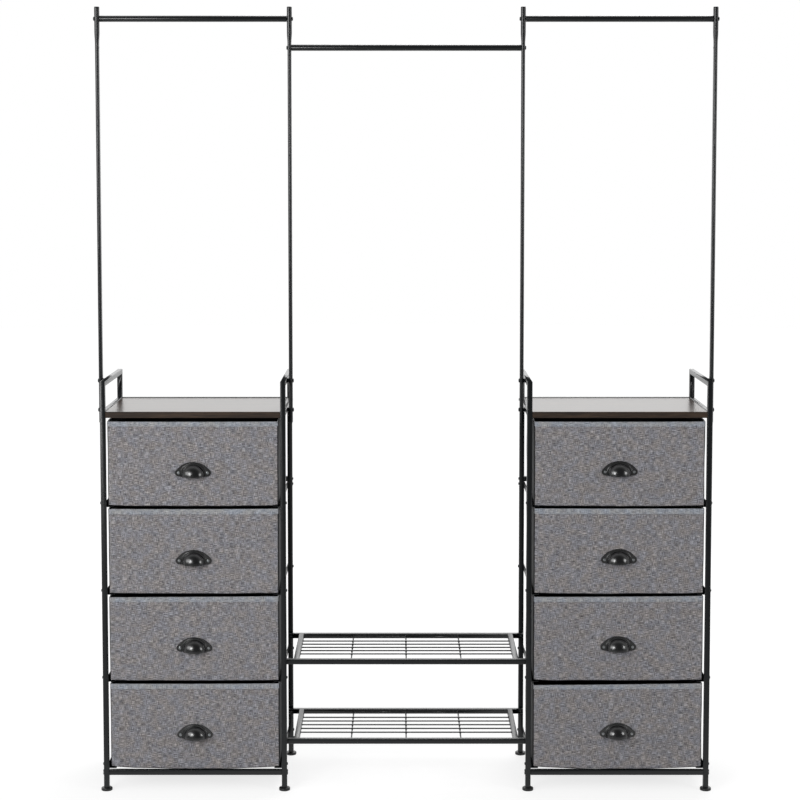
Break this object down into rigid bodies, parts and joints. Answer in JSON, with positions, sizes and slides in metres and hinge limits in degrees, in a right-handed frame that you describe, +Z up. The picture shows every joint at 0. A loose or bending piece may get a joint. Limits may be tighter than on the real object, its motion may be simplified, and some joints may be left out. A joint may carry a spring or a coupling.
{
  "type": "clothes rack",
  "caption": "Free-standing clothes rack: fabric-drawer dressers joined by wire shelves, with hanging posts and rods above them.",
  "frame": {"origin": "on the floor, in the middle of the whole rack's length and depth", "axes": "+Z up, +X to the right along the rack's length as seen from the front, drawers open towards -Y"},
  "size_m": [1.5044, 0.3249, 1.8955],
  "materials": {
    "black_powder_coat": "satin black powder coat on steel tube",
    "walnut_board": "dark walnut-grain laminate, satin",
    "grey_fabric": "woven grey heather fabric, matte",
    "black_plastic": "moulded black plastic",
    "black_lacquer": "glossy black lacquer on pressed steel"
  },
  "bodies": {
    "frame": {"front_crossbar_left": "black_powder_coat", "front_crossbar_right": "black_powder_coat", "hanging_post_left_inner": "black_powder_coat", "hanging_post_left_outer": "black_powder_coat", "hanging_post_right_inner": "black_powder_coat", "hanging_post_right_outer": "black_powder_coat", "hanging_rod_centre": "black_powder_coat", "hanging_rod_left": "black_powder_coat", "hanging_rod_right": "black_powder_coat", "post_bolt_left_inner_lower": "black_powder_coat", "post_bolt_left_inner_upper": "black_powder_coat", "post_bolt_left_outer_lower": "black_powder_coat", "post_bolt_left_outer_upper": "black_powder_coat", "post_bolt_right_inner_lower": "black_powder_coat", "post_bolt_right_inner_upper": "black_powder_coat", "post_bolt_right_outer_lower": "black_powder_coat", "post_bolt_right_outer_upper": "black_powder_coat", "post_cap_left_inner": "black_plastic", "post_cap_left_outer": "black_plastic", "post_cap_right_inner": "black_plastic", "post_cap_right_outer": "black_plastic", "rear_crossbar_left_bottom": "black_powder_coat", "rear_crossbar_left_middle": "black_powder_coat", "rear_crossbar_left_top": "black_powder_coat", "rear_crossbar_right_bottom": "black_powder_coat", "rear_crossbar_right_middle": "black_powder_coat", "rear_crossbar_right_top": "black_powder_coat", "side_frame_left_inner": "black_powder_coat", "side_frame_left_outer": "black_powder_coat", "side_frame_right_inner": "black_powder_coat", "side_frame_right_outer": "black_powder_coat", "top_board_left": "walnut_board", "top_board_right": "walnut_board", "wire_shelf_lower": "black_powder_coat", "wire_shelf_upper": "black_powder_coat"},
    "drawer_left_1": {"drawer_left_1_box": "grey_fabric", "drawer_left_1_pull": "black_lacquer"},
    "drawer_left_2": {"drawer_left_2_box": "grey_fabric", "drawer_left_2_pull": "black_lacquer"},
    "drawer_left_3": {"drawer_left_3_box": "grey_fabric", "drawer_left_3_pull": "black_lacquer"},
    "drawer_left_4": {"drawer_left_4_box": "grey_fabric", "drawer_left_4_pull": "black_lacquer"},
    "drawer_right_1": {"drawer_right_1_box": "grey_fabric", "drawer_right_1_pull": "black_lacquer"},
    "drawer_right_2": {"drawer_right_2_box": "grey_fabric", "drawer_right_2_pull": "black_lacquer"},
    "drawer_right_3": {"drawer_right_3_box": "grey_fabric", "drawer_right_3_pull": "black_lacquer"},
    "drawer_right_4": {"drawer_right_4_box": "grey_fabric", "drawer_right_4_pull": "black_lacquer"},
    "foot_left_outer_front": {"foot_left_outer_front": "black_plastic"},
    "foot_left_outer_rear": {"foot_left_outer_rear": "black_plastic"},
    "foot_left_inner_front": {"foot_left_inner_front": "black_plastic"},
    "foot_left_inner_rear": {"foot_left_inner_rear": "black_plastic"},
    "foot_right_outer_front": {"foot_right_outer_front": "black_plastic"},
    "foot_right_outer_rear": {"foot_right_outer_rear": "black_plastic"},
    "foot_right_inner_front": {"foot_right_inner_front": "black_plastic"},
    "foot_right_inner_rear": {"foot_right_inner_rear": "black_plastic"}
  },
  "joints": [
    {"name": "drawer_left_1_slide", "type": "slide", "parent": "frame", "child": "drawer_left_1", "axis": [0, -1, 0], "range_m": [0, 0.2]},
    {"name": "drawer_left_2_slide", "type": "slide", "parent": "frame", "child": "drawer_left_2", "axis": [0, -1, 0], "range_m": [0, 0.2]},
    {"name": "drawer_left_3_slide", "type": "slide", "parent": "frame", "child": "drawer_left_3", "axis": [0, -1, 0], "range_m": [0, 0.2]},
    {"name": "drawer_left_4_slide", "type": "slide", "parent": "frame", "child": "drawer_left_4", "axis": [0, -1, 0], "range_m": [0, 0.2]},
    {"name": "drawer_right_1_slide", "type": "slide", "parent": "frame", "child": "drawer_right_1", "axis": [0, -1, 0], "range_m": [0, 0.2]},
    {"name": "drawer_right_2_slide", "type": "slide", "parent": "frame", "child": "drawer_right_2", "axis": [0, -1, 0], "range_m": [0, 0.2]},
    {"name": "drawer_right_3_slide", "type": "slide", "parent": "frame", "child": "drawer_right_3", "axis": [0, -1, 0], "range_m": [0, 0.2]},
    {"name": "drawer_right_4_slide", "type": "slide", "parent": "frame", "child": "drawer_right_4", "axis": [0, -1, 0], "range_m": [0, 0.2]},
    {"name": "foot_left_outer_front_height", "type": "slide", "parent": "frame", "child": "foot_left_outer_front", "axis": [0, 0, -1], "range_m": [0, 0.01]},
    {"name": "foot_left_outer_rear_height", "type": "slide", "parent": "frame", "child": "foot_left_outer_rear", "axis": [0, 0, -1], "range_m": [0, 0.01]},
    {"name": "foot_left_inner_front_height", "type": "slide", "parent": "frame", "child": "foot_left_inner_front", "axis": [0, 0, -1], "range_m": [0, 0.01]},
    {"name": "foot_left_inner_rear_height", "type": "slide", "parent": "frame", "child": "foot_left_inner_rear", "axis": [0, 0, -1], "range_m": [0, 0.01]},
    {"name": "foot_right_outer_front_height", "type": "slide", "parent": "frame", "child": "foot_right_outer_front", "axis": [0, 0, -1], "range_m": [0, 0.01]},
    {"name": "foot_right_outer_rear_height", "type": "slide", "parent": "frame", "child": "foot_right_outer_rear", "axis": [0, 0, -1], "range_m": [0, 0.01]},
    {"name": "foot_right_inner_front_height", "type": "slide", "parent": "frame", "child": "foot_right_inner_front", "axis": [0, 0, -1], "range_m": [0, 0.01]},
    {"name": "foot_right_inner_rear_height", "type": "slide", "parent": "frame", "child": "foot_right_inner_rear", "axis": [0, 0, -1], "range_m": [0, 0.01]}
  ]
}
